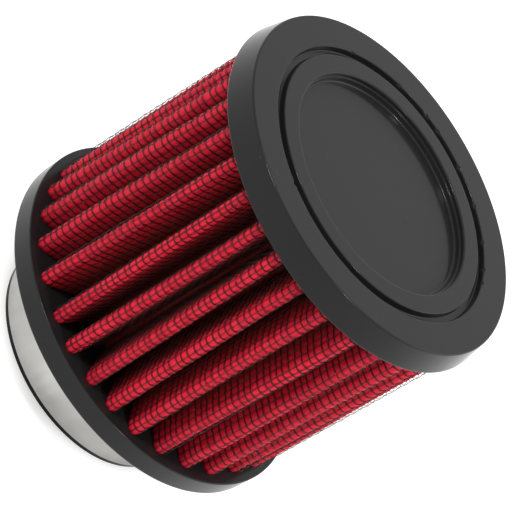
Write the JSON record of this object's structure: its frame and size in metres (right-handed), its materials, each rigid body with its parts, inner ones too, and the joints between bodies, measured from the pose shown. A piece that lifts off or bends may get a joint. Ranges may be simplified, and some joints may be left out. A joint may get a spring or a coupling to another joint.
{
  "type": "crankcase breather filter",
  "caption": "Round pleated breather filter with a closed rubber cap, a rubber base and a clamp neck held by a worm drive band.",
  "frame": {"origin": "centre of the neck's end face, which the filter stands on", "axes": "+Z along the filter's axis, from the open neck to the closed cap; +Y points at the clamp's housing and +X at the head of its screw"},
  "size_m": [0.0762, 0.0762, 0.0804],
  "materials": {
    "cap_rubber": "satin moulded",
    "oiled_gauze": "oiled cotton",
    "coated_wire": "dark coated wire",
    "band_steel": "satin rolled",
    "screw_steel": "plated"
  },
  "bodies": {
    "filter": {"top_cap": "cap_rubber", "base_cap": "cap_rubber", "gauze_media": "oiled_gauze", "outer_screen": "coated_wire", "inner_screen": "coated_wire", "clamp_band": "band_steel", "clamp_housing": "band_steel"},
    "screw": {"clamp_screw": "screw_steel"}
  },
  "joints": [
    {"name": "screw_turn", "type": "hinge", "parent": "filter", "child": "screw", "pos_m": [0, 0.0288, 0.00735], "axis": [1, 0, 0], "continuous": true}
  ]
}
